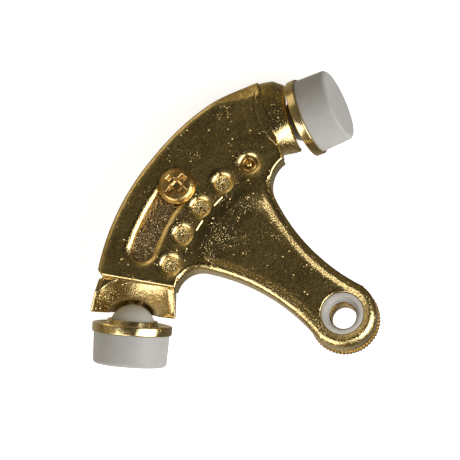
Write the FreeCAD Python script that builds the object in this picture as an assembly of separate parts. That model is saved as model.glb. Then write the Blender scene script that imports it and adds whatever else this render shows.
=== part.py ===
import FreeCAD
import Part
import os
from math import cos, radians, sin, sqrt

"""Adjustable door stop that hangs on a hinge pin.

A die-cast arc body reaches out from an eye on the hinge pin.  A second casting, the adjusting
arm, slides round inside the arc and is clamped by a pan-head screw.  Each casting ends in a
white bumper that swivels on a ball.  Units are millimetres and degrees.

Frame: the origin is on the pin bore's axis at the underside of the knurled collar, +Z is the
pin's axis and points to the screw-head side, and angles are measured from +X about +Z.
"""

V = FreeCAD.Vector
UP = V(0, 0, 1)

# The two arcs, which share the pin bore's axis
BODY_OUTER_R = 80.0
BODY_INNER_R = 53.4
MID_R = 66.7
BODY_START = 112.5
BODY_END = 170.0
FACE_Z = 14.0
BACK_Z = -5.5
TOP_WALL = 2.2
OUTER_WALL = 2.4
INNER_WALL = 2.3
SLIDE_GAP = 0.3

# Web between the arc and the eye
WEB_TOP_Z = 12.4
WEB_BACK_Z = 4.6
EYE_R = 10.8
EYE_TOP_Z = 12.4
EYE_BACK_Z = 3.3
EYE_BORE_R = 6.15
EYE_COUNTERBORE_R = 6.75
EYE_COUNTERBORE_Z = 11.2
LOWER_EDGE_CENTRE = V(-56.4, -45.1, 0)
LOWER_EDGE_R = 61.4
UPPER_EDGE_CENTRE = V(35.2, 64.0, 0)
UPPER_EDGE_R = 62.2
LOWER_FILLET_R = 7.6
UPPER_FILLET_R = 9.0

# Adjustment: slot, index holes and guide pin
SLOT_WIDTH = 7.8
SCREW_ANGLE = 141.4
SLOT_PLAY = 0.4
SLOT_SPAN = 20.2
INDEX_R = 56.7
INDEX_STEP = 10.5
INDEX_FIRST = 121.1
INDEX_HOLES = 5
INDEX_HOLE_R = 2.65
INDEX_HOLE_DEPTH = 1.4
PIN_SHANK_R = 1.9
PIN_TIP_Z = 5.5
PIN_RIM_Z = 12.9
PIN_DOME_Z = 13.4

# Adjusting arm
ARM_TAIL_START = 117.5
ARM_HEAD_START = 170.4
ARM_WALL = 2.4
ARM_TOP_PLATE = 3.2
ARM_BACK_Z = -5.0
HEAD_ROOT = V(-64.9, 15.0, 6.4)
HEAD_LEAN = -8.8
HEAD_ROOT_R = 11.6
HEAD_END_R = 13.9
HEAD_LENGTH = 15.0
HEAD_WALL = 1.6
HEAD_RIM_Z = 7.4
SCOOP_DEPTH = 4.4
HEAD_GAP_Y = 2.6
HEAD_END_Z = 9.0
HEAD_END_SLOPE = -6.4
HEAD_END_LEAN = 13.0
BOSS_WALL = 2.2

# Clamp screw, washer and nut
SCREW_R = 2.5
SCREW_TIP_Z = 1.6
HEAD_R = 5.9
HEAD_HEIGHT = 2.6
UNDER_HEAD = 0.05
WASHER_R = 4.6
WASHER_THICK = 1.1
NUT_ACROSS_FLATS = 8.0
NUT_HEIGHT = 4.0
THREAD_CLEARANCE = 0.06

# Pivot: collar and bushing
PIN_BORE_R = 4.0
COLLAR_R = 11.2
COLLAR_THICK = 3.1
COLLAR_SPIGOT_R = 5.0
COLLAR_SPIGOT_Z = 7.2
KNURL_TEETH = 60
KNURL_DEPTH = 0.35
BUSH_R = 6.1
BUSH_FLANGE_R = 6.7
BUSH_TOP_Z = 12.6
BUSH_STEPS = [(7.2, 4.4), (9.0, 4.8), (10.8, 5.3)]

# Swivelling bumpers: the ball's centre is in the plane of the cup's rim
BALL_R = 7.2
BALL_Z = 3.2
BALL_PLAY = 0.15
KNOB_R = 3.0
KNOB_PLAY = 0.3
STUD_R = 1.4
STUD_CONE = 38.0
CUP_R = 12.7
CUP_DEPTH = 3.0
CUP_SETBACK = 1.1
CUP_WALL = 0.9
CUP_LIP = 1.2
DISH_DEPTH = 1.3
PAD_R = 12.05
PAD_TIP_R = 11.8
PAD_LENGTH = 10.2
PAD_ROUND = 0.9
PAD_SPIGOT_R = 11.6

# Fixed bumper, on the body's neck
NECK_R = 11.0
NECK_ROOT_R = 14.9
NECK_TOP_Z = 14.3
NECK_WALL = 1.8
NECK_DEPTH = 9.6
NECK_LENGTH = 16.0
NECK_GAP = 3.3
NECK_END_LEAN = 8.0
NECK_SKIRT_GAP = 5.0
NECK_AXIS = 13.0
BALL_A_ANGLE = 100.8
BALL_A_R = 66.3
YAW_A = 6.0
NOD_A = 12.5

# Moving bumper, on the adjusting arm
BALL_B = V(-67.6, -1.3, BALL_Z)
HEAD_AXIS = -90.0
YAW_B = -6.0
NOD_B = -15.0
STUD_B_DIP = 50.0


def polar(radius, angle, z=0.0):
    """Point at a radius and angle about the pin bore's axis."""
    return V(radius * cos(radians(angle)), radius * sin(radians(angle)), z)


def direction(angle, tilt=0.0):
    """Unit vector at an angle in the XY plane, raised out of it by tilt."""
    return V(cos(radians(tilt)) * cos(radians(angle)),
             cos(radians(tilt)) * sin(radians(angle)),
             sin(radians(tilt)))


def disc(radius, low, high, centre=V(0, 0, 0)):
    """Upright cylinder between two heights."""
    return Part.makeCylinder(radius, high - low, V(centre.x, centre.y, low))


def arc(radius, start, end, z):
    """Arc about the pin bore's axis."""
    return Part.Arc(polar(radius, start, z), polar(radius, (start + end) / 2, z),
                    polar(radius, end, z)).toShape()


def prism(edges, height):
    """Solid on a closed outline."""
    return Part.Face(Part.Wire(Part.sortEdges(edges)[0])).extrude(V(0, 0, height))


def sector(inner, outer, start, end, low, high):
    """Piece of a ring between two angles and two heights."""
    return prism([arc(inner, start, end, low),
                  Part.makeLine(polar(inner, end, low), polar(outer, end, low)),
                  arc(outer, start, end, low),
                  Part.makeLine(polar(outer, start, low), polar(inner, start, low))], high - low)


def arc_slot(radius, width, start, end, low, high):
    """Slot with round ends along an arc."""
    half = width / 2
    slot = sector(radius - half, radius + half, start, end, low, high)
    for angle in (start, end):
        slot = slot.fuse(disc(half, low, high, polar(radius, angle)))
    return slot


def turned(profile):
    """Solid turned about the local Z axis from (radius, height) points."""
    points = [V(radius, 0, height) for radius, height in profile]
    return Part.Face(Part.makePolygon(points + points[:1])).revolve(V(0, 0, 0), UP, 360)


def along(shape, centre, axis, roll=0.0):
    """Put a shape made about local Z on an axis through a centre."""
    placed = shape.copy()
    placed.Placement = FreeCAD.Placement(centre, FreeCAD.Rotation(UP, axis).multiply(
        FreeCAD.Rotation(UP, roll)))
    return placed


def local_box(centre, angle, start, end, half_width, low, high):
    """Box along a direction in the XY plane, from start to end, between two heights."""
    box = Part.makeBox(end - start, 2 * half_width, high - low, V(start, -half_width, low))
    box.Placement = FreeCAD.Placement(V(centre.x, centre.y, 0), FreeCAD.Rotation(UP, angle))
    return box


def circle_meets_circle(centre_a, radius_a, centre_b, radius_b, side):
    """Where two circles in the XY plane meet, on the left (1) or right (-1) of the centre line."""
    line = centre_b - centre_a
    gap = line.Length
    along_line = (radius_a ** 2 - radius_b ** 2 + gap ** 2) / (2 * gap)
    offset = sqrt(radius_a ** 2 - along_line ** 2)
    unit = line / gap
    return centre_a + unit * along_line + V(-unit.y, unit.x, 0) * offset * side


def web_outline():
    """Edges of the web: two hollow sides, each blended into the arc by a fillet."""
    inside = BODY_INNER_R + 1.0
    edges = []
    corners = []
    sides = ((LOWER_EDGE_CENTRE, LOWER_EDGE_R, LOWER_FILLET_R, -1),
             (UPPER_EDGE_CENTRE, UPPER_EDGE_R, UPPER_FILLET_R, 1))
    for centre, radius, fillet, side in sides:
        # The fillet's centre lies in the open corner, off the side and off the arc
        middle = circle_meets_circle(V(0, 0, 0), BODY_INNER_R - fillet, centre,
                                     radius - fillet, side)
        on_arc = middle * (inside / middle.Length)
        on_side = centre + (middle - centre) * (radius / (middle - centre).Length)
        touch_arc = middle * (BODY_INNER_R / middle.Length)
        bisector = (touch_arc - middle).normalize() + (on_side - middle).normalize()
        edges.append(Part.Arc(touch_arc, middle + bisector.normalize() * fillet,
                              on_side).toShape())
        edges.append(Part.makeLine(on_arc, touch_arc))
        at_eye = centre * ((centre.Length - radius) / centre.Length)
        chord = (on_side + at_eye) / 2
        bulge = centre + (chord - centre).normalize() * radius
        edges.append(Part.Arc(on_side, bulge, at_eye).toShape())
        corners.append((on_arc, at_eye))
    edges.append(Part.makeLine(corners[0][1], corners[1][1]))
    middle = (corners[0][0] + corners[1][0]).normalize() * inside
    edges.append(Part.Arc(corners[0][0], middle, corners[1][0]).toShape())
    return edges


def make_body_casting(stud, pin):
    """Arc body, neck for the fixed bumper, web and eye, cast as one shell."""
    ball = polar(BALL_A_R, BALL_A_ANGLE, BALL_Z)
    axis = direction(NECK_AXIS)
    body = sector(BODY_INNER_R, BODY_OUTER_R, BODY_START, BODY_END, BACK_Z, FACE_Z)
    root = ball - axis * NECK_LENGTH
    neck = Part.makeCone(NECK_ROOT_R, NECK_R, NECK_LENGTH - NECK_GAP, root, axis)
    neck = neck.common(disc(2 * BODY_OUTER_R, BALL_Z, NECK_TOP_Z))
    end = ball - axis * NECK_GAP
    beyond = local_box(end, NECK_AXIS, 0, NECK_R, 2 * NECK_R, BALL_Z - NECK_R, 2 * NECK_TOP_Z)
    beyond.rotate(end, direction(NECK_AXIS + 90), -NECK_END_LEAN)
    neck = neck.cut(beyond)
    skirt = local_box(ball, NECK_AXIS, -NECK_LENGTH, -NECK_SKIRT_GAP, NECK_R, BACK_Z, BALL_Z)
    body = body.fuse([neck, skirt])
    web = prism(web_outline(), WEB_TOP_Z - WEB_BACK_Z)
    web.translate(V(0, 0, WEB_BACK_Z))
    web = web.cut(sector(MID_R / 2, BODY_OUTER_R, BODY_END, BODY_END + 10, 0, FACE_Z))
    body = body.fuse([web, disc(EYE_R, EYE_BACK_Z, EYE_TOP_Z)])

    hollow_r = NECK_R - NECK_WALL
    mouth = ball - axis * NECK_DEPTH
    body = body.cut(Part.makeCylinder(hollow_r, NECK_DEPTH, mouth, axis))
    body = body.cut(local_box(ball, NECK_AXIS, -NECK_DEPTH, 0, hollow_r, BACK_Z - 1, BALL_Z))
    body = body.cut(sector(BODY_INNER_R + INNER_WALL, BODY_OUTER_R - OUTER_WALL,
                           ARM_TAIL_START - 1, BODY_END + 1, BACK_Z - 1, FACE_Z - TOP_WALL))
    body = body.cut(arc_slot(MID_R, SLOT_WIDTH, SCREW_ANGLE - SLOT_PLAY,
                             SCREW_ANGLE - SLOT_PLAY + SLOT_SPAN, FACE_Z - 2 * TOP_WALL, FACE_Z + 1))
    for index in range(INDEX_HOLES):
        centre = polar(INDEX_R, INDEX_FIRST + index * INDEX_STEP)
        body = body.cut(disc(INDEX_HOLE_R, FACE_Z - INDEX_HOLE_DEPTH, FACE_Z + 1, centre))
    body = body.cut(disc(EYE_BORE_R, EYE_BACK_Z - 1, EYE_TOP_Z + 1))
    body = body.cut(disc(EYE_COUNTERBORE_R, EYE_COUNTERBORE_Z, EYE_TOP_Z + 1))
    return body.cut([stud, pin]).removeSplitter()


def make_adjusting_arm(stud):
    """Second arc: a channel inside the body and a scooped head that holds the moving bumper."""
    inner = BODY_INNER_R + INNER_WALL + SLIDE_GAP
    outer = BODY_OUTER_R - OUTER_WALL - SLIDE_GAP
    top = FACE_Z - TOP_WALL - SLIDE_GAP
    arm = sector(inner, outer, ARM_TAIL_START, ARM_HEAD_START + 1, ARM_BACK_Z, top)
    arm = arm.cut(sector(inner + ARM_WALL, outer - ARM_WALL, ARM_TAIL_START - 1,
                         ARM_HEAD_START - 8, ARM_BACK_Z - 1, top - ARM_TOP_PLATE))

    lean = direction(HEAD_AXIS + HEAD_LEAN)
    shell = Part.makeCone(HEAD_ROOT_R, HEAD_END_R, HEAD_LENGTH, HEAD_ROOT, lean)
    shell = shell.common(sector(BODY_INNER_R - 2, BODY_OUTER_R + 5, ARM_HEAD_START, 185,
                                -20, HEAD_RIM_Z))
    scoop_end = HEAD_ROOT + lean * (HEAD_LENGTH - SCOOP_DEPTH)
    scoop_r = HEAD_ROOT_R + (HEAD_END_R - HEAD_ROOT_R) * (1 - SCOOP_DEPTH / HEAD_LENGTH) - HEAD_WALL
    scoop = Part.makeCone(scoop_r, HEAD_END_R - HEAD_WALL, SCOOP_DEPTH, scoop_end, lean)
    scoop = scoop.fuse(Part.makeSphere(scoop_r, scoop_end))
    boss = Part.makeCylinder(STUD_R + BOSS_WALL, 30, BALL_B, direction(-HEAD_AXIS, -STUD_B_DIP))
    boss = boss.common(shell.fuse(scoop)).cut(Part.makeSphere(BALL_R + 2.5, BALL_B))
    end = V(BALL_B.x, BALL_B.y + HEAD_GAP_Y, HEAD_END_Z)
    beyond = Part.makeBox(60, 60, 60, end - V(30, 60, 30))
    beyond.rotate(end, V(1, 0, 0), HEAD_END_LEAN)
    beyond.rotate(end, UP, HEAD_END_SLOPE)
    arm = arm.fuse(shell).cut(scoop).fuse(boss)
    arm = arm.cut(beyond)

    arm = arm.cut(sector(inner - 2, INDEX_R + PIN_SHANK_R + 1.6, ARM_TAIL_START - 1,
                         INDEX_FIRST + 3.3, ARM_BACK_Z - 1, top + 1))
    arm = arm.cut(disc(SCREW_R + 0.1, ARM_BACK_Z, top + 1, polar(MID_R, SCREW_ANGLE)))
    return arm.cut(stud).removeSplitter()


def make_clamp_screw():
    """Pan-head machine screw with a cross recess."""
    centre = polar(MID_R, SCREW_ANGLE)
    low = FACE_Z + UNDER_HEAD
    screw = disc(SCREW_R, SCREW_TIP_Z, low + 0.5, centre)
    head = disc(HEAD_R, low, low + HEAD_HEIGHT, centre)
    rim = [edge for edge in head.Edges if abs(edge.BoundBox.ZMin - low - HEAD_HEIGHT) < 0.01
           and edge.BoundBox.ZLength < 0.01]
    head = head.makeFillet(HEAD_HEIGHT * 0.7, rim)
    screw = screw.fuse(head)
    for angle in (45, 135):
        screw = screw.cut(local_box(centre, angle, -HEAD_R * 0.6, HEAD_R * 0.6, 0.7,
                                    low + HEAD_HEIGHT - 1.7, low + HEAD_HEIGHT + 1))
    return screw


def make_lock_washer():
    """Split spring washer between the nut and the arm."""
    centre = polar(MID_R, SCREW_ANGLE)
    high = FACE_Z - TOP_WALL - SLIDE_GAP - ARM_TOP_PLATE
    washer = disc(WASHER_R, high - WASHER_THICK, high, centre)
    washer = washer.cut(disc(SCREW_R + 0.15, high - 2, high + 1, centre))
    return washer.cut(local_box(centre, 70, 0, WASHER_R + 1, 0.35, high - 2, high + 1))


def make_clamp_nut():
    """Hexagon nut inside the arm's channel."""
    centre = polar(MID_R, SCREW_ANGLE)
    high = FACE_Z - TOP_WALL - SLIDE_GAP - ARM_TOP_PLATE - WASHER_THICK
    corner = NUT_ACROSS_FLATS / 2 / cos(radians(30))
    points = [centre + polar(corner, SCREW_ANGLE + 60 * index, high - NUT_HEIGHT)
              for index in range(6)]
    nut = Part.Face(Part.makePolygon(points + points[:1])).extrude(V(0, 0, NUT_HEIGHT))
    return nut.cut(disc(SCREW_R + THREAD_CLEARANCE, high - NUT_HEIGHT - 1, high + 1, centre))


def make_guide_pin():
    """Domed pin riveted into the first index hole; it ends the arm's inward travel."""
    centre = polar(INDEX_R, INDEX_FIRST)
    low = FACE_Z - INDEX_HOLE_DEPTH
    rise = PIN_DOME_Z - PIN_RIM_Z
    dome_r = (INDEX_HOLE_R ** 2 + rise ** 2) / (2 * rise)
    pin = disc(INDEX_HOLE_R, low, PIN_DOME_Z, centre)
    pin = pin.common(Part.makeSphere(dome_r, V(centre.x, centre.y, PIN_DOME_Z - dome_r)))
    return pin.fuse(disc(PIN_SHANK_R, PIN_TIP_Z, low + 0.1, centre))


def make_knurled_collar():
    """Collar behind the eye, with a serrated rim and a spigot up into the bushing."""
    points = []
    for tooth in range(KNURL_TEETH):
        pitch = 360 / KNURL_TEETH
        points.append(polar(COLLAR_R, tooth * pitch))
        points.append(polar(COLLAR_R - KNURL_DEPTH, (tooth + 0.5) * pitch))
    collar = Part.Face(Part.makePolygon(points + points[:1])).extrude(V(0, 0, COLLAR_THICK))
    collar = collar.fuse(disc(COLLAR_SPIGOT_R, COLLAR_THICK - 0.5, COLLAR_SPIGOT_Z))
    return collar.cut(disc(PIN_BORE_R, -1, COLLAR_SPIGOT_Z + 1))


def make_eye_bushing():
    """Flanged plastic bushing with a stepped mouth."""
    bushing = disc(BUSH_R, COLLAR_THICK, EYE_COUNTERBORE_Z + 0.3)
    bushing = bushing.fuse(disc(BUSH_FLANGE_R, EYE_COUNTERBORE_Z + 0.1, BUSH_TOP_Z))
    bushing = bushing.cut(disc(COLLAR_SPIGOT_R, COLLAR_THICK - 1, COLLAR_SPIGOT_Z))
    for low, radius in BUSH_STEPS:
        bushing = bushing.cut(disc(radius, low, BUSH_TOP_Z + 1))
    return bushing


def make_swivel_stud(ball, inward):
    """Steel stud with a round knob at the ball's centre, pressed into the casting."""
    stud = Part.makeCylinder(STUD_R, 11.6, ball, inward)
    return stud.fuse(Part.makeSphere(KNOB_R, ball))


def make_swivel_ball(ball, inward):
    """White ball that snaps over the stud's knob; the flared mouth lets it swing."""
    cone = Part.makeCone(0, 10 * sin(radians(STUD_CONE)) / cos(radians(STUD_CONE)), 10,
                         ball, inward)
    solid = Part.makeSphere(BALL_R, ball)
    return solid.cut(Part.makeSphere(KNOB_R + KNOB_PLAY, ball)).cut(cone)


def make_bumper_cup():
    """Dished metal cup about local +Z, which points at the door."""
    back = -CUP_SETBACK
    front = back + CUP_DEPTH
    floor = back + DISH_DEPTH
    profile = [(PAD_SPIGOT_R, front), (CUP_R, front), (CUP_R, back + 0.25), (CUP_R - 0.25, back),
               (CUP_R - CUP_WALL, back), (BALL_R + 1.1, floor), (BALL_R + 0.7, -CUP_LIP),
               (BALL_R - 1.0, -CUP_LIP), (BALL_R - 1.0, floor + CUP_WALL),
               (PAD_SPIGOT_R, floor + CUP_WALL)]
    return turned(profile).cut(Part.makeSphere(BALL_R + BALL_PLAY, V(0, 0, 0)))


def make_bumper_pad():
    """Soft pad with a spigot in the cup and a round seat for the ball."""
    front = CUP_DEPTH - CUP_SETBACK
    face = front + PAD_LENGTH
    seat = DISH_DEPTH - CUP_SETBACK + CUP_WALL
    profile = [(0, seat), (PAD_SPIGOT_R, seat), (PAD_SPIGOT_R, front), (PAD_R, front),
               (PAD_TIP_R, face - PAD_ROUND), (PAD_TIP_R - PAD_ROUND, face), (0, face)]
    return turned(profile).cut(Part.makeSphere(BALL_R + BALL_PLAY, V(0, 0, 0)))


def build():
    """Make every piece of the door stop, by node name."""
    ball_a = polar(BALL_A_R, BALL_A_ANGLE, BALL_Z)
    inward_a = direction(NECK_AXIS + 180)
    inward_b = direction(HEAD_AXIS + 180, -STUD_B_DIP)
    stud_a = make_swivel_stud(ball_a, inward_a)
    stud_b = make_swivel_stud(BALL_B, inward_b)
    guide_pin = make_guide_pin()
    pieces = {
        "body_casting": make_body_casting(stud_a, guide_pin),
        "adjusting_arm": make_adjusting_arm(stud_b),
        "clamp_screw": make_clamp_screw(),
        "lock_washer": make_lock_washer(),
        "clamp_nut": make_clamp_nut(),
        "guide_pin": guide_pin,
        "knurled_collar": make_knurled_collar(),
        "eye_bushing": make_eye_bushing(),
        "swivel_stud_fixed": stud_a,
        "swivel_stud_moving": stud_b,
    }
    bumpers = (("fixed", ball_a, inward_a, NECK_AXIS, YAW_A, NOD_A),
               ("moving", BALL_B, inward_b, HEAD_AXIS, YAW_B, NOD_B))
    for name, ball, inward, neutral, yaw, nod in bumpers:
        swing = FreeCAD.Rotation(UP, yaw)
        outward = direction(neutral + yaw, nod)
        pieces["swivel_ball_" + name] = make_swivel_ball(ball, swing.multVec(inward))
        pieces["bumper_cup_" + name] = along(make_bumper_cup(), ball, outward)
        pieces["bumper_pad_" + name] = along(make_bumper_pad(), ball, outward)
    return pieces


os.makedirs("parts", exist_ok=True)
for node, shape in build().items():
    shape.exportStep(os.path.join("parts", node + ".step"))
    print(node, len(shape.Solids), "solid(s)", round(shape.Volume, 1), "mm3", shape.isValid())
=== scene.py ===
import math

import bpy
import numpy as np
from mathutils import Matrix, Vector


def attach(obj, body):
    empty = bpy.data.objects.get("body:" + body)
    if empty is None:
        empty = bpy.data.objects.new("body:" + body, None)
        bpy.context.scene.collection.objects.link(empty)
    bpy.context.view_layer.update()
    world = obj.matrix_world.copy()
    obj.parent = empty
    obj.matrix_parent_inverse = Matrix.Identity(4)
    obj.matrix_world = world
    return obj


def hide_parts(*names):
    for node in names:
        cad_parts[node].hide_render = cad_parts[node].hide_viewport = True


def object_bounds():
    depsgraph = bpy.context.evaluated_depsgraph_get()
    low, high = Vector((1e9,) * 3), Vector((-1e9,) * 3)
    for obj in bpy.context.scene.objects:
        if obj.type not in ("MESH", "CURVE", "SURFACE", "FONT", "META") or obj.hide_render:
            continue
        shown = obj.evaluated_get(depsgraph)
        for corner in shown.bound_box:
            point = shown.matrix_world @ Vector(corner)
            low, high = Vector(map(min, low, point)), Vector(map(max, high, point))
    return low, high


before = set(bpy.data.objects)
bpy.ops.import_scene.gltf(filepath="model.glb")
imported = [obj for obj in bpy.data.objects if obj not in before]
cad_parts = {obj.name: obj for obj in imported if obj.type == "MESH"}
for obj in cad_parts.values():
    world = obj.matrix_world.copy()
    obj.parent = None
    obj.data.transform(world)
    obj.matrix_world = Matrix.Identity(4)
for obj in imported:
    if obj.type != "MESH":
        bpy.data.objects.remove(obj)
CAD_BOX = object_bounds()

MM = 0.001
FAR_INSIDE = -50.0

# ---------------------------------------------------------------------------
# Driving dimensions, in millimetres and degrees about the hinge pin's axis
# ---------------------------------------------------------------------------
# Arc block of the body casting
BODY_OUTER_R = 80.0
BODY_TAIL_R = 78.9
BODY_INNER_R = 53.4
MID_R = 66.7
BODY_START = 110.6
CHANNEL_START = 116.5
FACE_Z = 14.0
BACK_Z = -5.5
TOP_WALL = 2.2
OUTER_WALL = 2.4
INNER_WALL = 2.3
END_POINT = (-76.0, 13.5)
END_LEAN = -11.2
END_CORNER = -55.0
BEVEL_LEAN = 30.0
BEVEL_WIDTH = 1.0

# Web and eye; the edges are circles given by centre and radius
PANEL_Z = 12.4
STEP_DROP = 0.3
RIM_RISE = 0.75
RIM_WIDTH = 2.9
WEB_BACK_Z = 4.6
WEB_REACH = 56.0
LOWER_EDGE = (-56.4, -45.1, 61.4)
UPPER_EDGE = (35.2, 64.0, 62.2)
LOWER_FILLET = 7.6
UPPER_FILLET = 9.0
RISE_POINT = (-33.2, 45.2)
RISE_ACROSS = (0.6, 0.8)
EYE_R = 10.8
EYE_BACK_Z = 3.3
EYE_BORE_R = 6.2
EYE_MOUTH_R = 6.8
EYE_MOUTH_Z = 11.2

# Slot and index holes; a dish is a countersink's depth and width
SLOT_HALF = 3.8
SLOT_FROM = 141.0
SLOT_TO = 161.2
SCREW_ANGLE = 141.4
INDEX_R = 56.7
INDEX_FIRST = 121.1
INDEX_STEP = 10.5
INDEX_HOLES = 5
INDEX_HOLE_R = 2.5
INDEX_DEPTH = 1.8
INDEX_BOSS_R = 3.9
PIN_SHANK_HOLE_R = 2.0
SLOT_DISH = (0.7, 1.5)
INDEX_DISH = (0.75, 1.6)
EYE_DISH = (0.75, 1.7)

# Clamp screw, with its cross recess
SCREW_SEAT_Z = FACE_Z + 0.05
SCREW_TIP_Z = 1.6
SCREW_HEAD_R = 5.85
SCREW_HEAD_HEIGHT = 2.6
SCREW_DOME = 0.9
SCREW_SHANK_R = 2.5
SCREW_PITCH = 0.8
RECESS_TURN = 47.0
RECESS_REACH = 4.2
RECESS_WIDTH = 1.0
RECESS_DEPTH = 2.1

# Balls, and the directions in which the bumpers point, as a plan angle and a tilt
BALL_Z = 3.2
BALL_R = 7.2
KNOB_R = 3.3
BALL_CONE = 38.0
BALL_A = (66.3 * math.cos(math.radians(100.8)), 66.3 * math.sin(math.radians(100.8)), BALL_Z)
BALL_B = (-67.6, -1.3, BALL_Z)
OUTWARD_A = (19.0, 12.5)
OUTWARD_B = (-96.0, -15.0)

# Bumpers, as heights along each one's axis from its ball's centre
SOCKET_R = BALL_R + 0.15
CUP_R = 12.7
CUP_BACK = -1.1
CUP_FRONT = 1.9
CUP_WALL = 0.8
CUP_LIP = -2.3
PAD_FACE = 12.1

# Collar on the hinge pin
PIN_BORE_R = 4.0
COLLAR_R = 11.2
COLLAR_TOP = 3.1
COLLAR_TEETH = 60
TOOTH_DEPTH = 0.4
SPIGOT_R = 5.0
SPIGOT_TOP = 7.2

# Neck of the body casting, which holds the fixed bumper
NECK_AXIS = 13.0
NECK_GAP = 3.3
NECK_LENGTH = 17.5
NECK_R = 11.0
NECK_OUTER_R = 79.9
NECK_HOLLOW_R = 9.2
NECK_HOLLOW_DEPTH = 9.6
NECK_BEVEL_EXTRA = 3.0
ROOT_BACK = 12.0
ROOT_FILLET = 3.0
CREASE_DEPTH = 0.16
CREASE_WIDTH = 0.22

# Adjusting arm, and its head that holds the moving bumper
SLIDE_GAP = 0.3
ARM_START = 117.5
ARM_WALL = 2.4
ARM_PLATE = 3.2
ARM_BACK_Z = -5.0
HEAD_START = 170.4
HEAD_Z = 6.4
HEAD_RIM_Z = 7.6
HEAD_WALL = 1.5
HEAD_END = (-67.6, 1.35, 9.0)
HEAD_END_SLOPE = -6.4
HEAD_END_LEAN = 13.0
RAMP_TOP = (13.9, 11.7)
RAMP_FALL = 0.72
RAMP_DISH = 3.2
POCKET_R = 8.4
BOSS_R = 3.4
BOSS_DIP = 50.0


# ---------------------------------------------------------------------------
# Distance fields: negative inside, so castings get true fillets everywhere
# ---------------------------------------------------------------------------
def join(a, b, radius):
    """Union with a round fillet in the inside corner."""
    return np.maximum(radius, np.minimum(a, b)) - np.hypot(np.maximum(radius - a, 0),
                                                           np.maximum(radius - b, 0))


def meet(a, b, radius):
    """Intersection with a rounded outside corner."""
    return np.minimum(-radius, np.maximum(a, b)) + np.hypot(np.maximum(radius + a, 0),
                                                            np.maximum(radius + b, 0))


def carve(a, b, radius):
    """a less b, with the edge rounded over."""
    return meet(a, -b, radius)


def ease(low, high, value):
    """Smooth step from 0 at low to 1 at high."""
    t = np.clip((value - low) / (high - low), 0, 1)
    return t * t * (3 - 2 * t)


def past(x, y, angle):
    """Distance past the ray at an angle about the pin's axis, counter-clockwise."""
    a = math.radians(angle)
    return y * math.cos(a) - x * math.sin(a)


def polar(radius, angle):
    """Point in the plan at a radius and angle."""
    a = math.radians(angle)
    return radius * math.cos(a), radius * math.sin(a)


def ring(r, inner, outer):
    """Distance to a ring about the pin's axis, in the plan."""
    return np.abs(r - (inner + outer) / 2) - (outer - inner) / 2


def to_point(x, y, centre):
    """Distance in the plan to a point."""
    return np.hypot(x - centre[0], y - centre[1])


def arc_distance(x, y, radius, start, end):
    """Distance in the plan to an arc about the pin's axis."""
    on_arc = np.abs(np.hypot(x, y) - radius)
    ends = np.minimum(to_point(x, y, polar(radius, start)), to_point(x, y, polar(radius, end)))
    inside = (past(x, y, start) > 0) & (past(x, y, end) < 0)
    return np.where(inside, on_arc, ends)


def index_holes():
    """Centres of the index holes; the guide pin fills the first."""
    return [polar(INDEX_R, INDEX_FIRST + n * INDEX_STEP) for n in range(INDEX_HOLES)]


def turn_about_pin(x, y):
    """Angle about the pin's axis, from 0 to 360 degrees."""
    return np.degrees(np.arctan2(y, x)) % 360


def outer_radius(x, y):
    """Radius of the outer wall, smaller toward the open end and a little at the neck."""
    angle = turn_about_pin(x, y)
    tail = (BODY_TAIL_R - BODY_OUTER_R) * ease(118, 142, angle)
    return BODY_OUTER_R + tail + (NECK_OUTER_R - BODY_OUTER_R) * ease(118, 111, angle)


def arc_ring(x, y):
    """Plan distance to the arc block."""
    return ring(np.hypot(x, y), BODY_INNER_R, outer_radius(x, y))


def dish(distance, top, z, size):
    """Shallow countersink round a hole, given the plan distance to the hole's wall."""
    drop, width = size
    slope = drop / width
    return (slope * distance - (z - top + drop)) / math.hypot(1, slope)


def plan_outline(x, y):
    """The body casting's outline in the plan: arc block, web and eye."""
    r = np.hypot(x, y)
    block = np.maximum(arc_ring(x, y), -past(x, y, BODY_START))
    block = np.maximum(block, end_face(x, y))
    lower = LOWER_EDGE[2] - to_point(x, y, LOWER_EDGE)
    upper = UPPER_EDGE[2] - to_point(x, y, UPPER_EDGE)
    toward = polar(1.0, 142.0)
    along = x * toward[0] + y * toward[1]
    web = np.maximum(np.maximum(lower, upper), np.maximum(r - BODY_INNER_R - 1, -along))
    side = ease(136, 148, turn_about_pin(x, y))
    fillet = UPPER_FILLET + (LOWER_FILLET - UPPER_FILLET) * side
    return np.minimum(join(block, web, fillet), r - EYE_R)


def neck_frame(x, y):
    """Coordinates along and across the fixed bumper's neck, from its ball."""
    a = math.radians(NECK_AXIS)
    dx = x - BALL_A[0]
    dy = y - BALL_A[1]
    return dx * math.cos(a) + dy * math.sin(a), dy * math.cos(a) - dx * math.sin(a)


def neck_sides(s):
    """Half-widths of the neck on its outer and inner sides."""
    back = np.maximum(-s - 2.7, 0)
    outer = np.minimum(11.1 + 0.62 * back, 13.9) - 0.45 * ease(9.5, 13.8, -s)
    return outer, 10.4 - 0.06 * back


def neck_plan(x, y):
    """The neck's outline in the plan."""
    s, t = neck_frame(x, y)
    outer, inner = neck_sides(s)
    plan = np.maximum(np.maximum(t - outer, -t - inner), -s - NECK_LENGTH)
    return np.maximum(plan, np.hypot(x, y) - outer_radius(x, y))


def bevel(outward, width, height):
    """Leaning plane that cuts a strip of a given width along a top outer edge."""
    lean = math.radians(BEVEL_LEAN)
    return (outward + width) * math.sin(lean) + height * math.cos(lean)


def crease(s, t):
    """Distance from the curved line where the arc's flat face ends and the neck begins."""
    return s + 14.3 - 0.03 * (t - 2.7) ** 2


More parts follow.
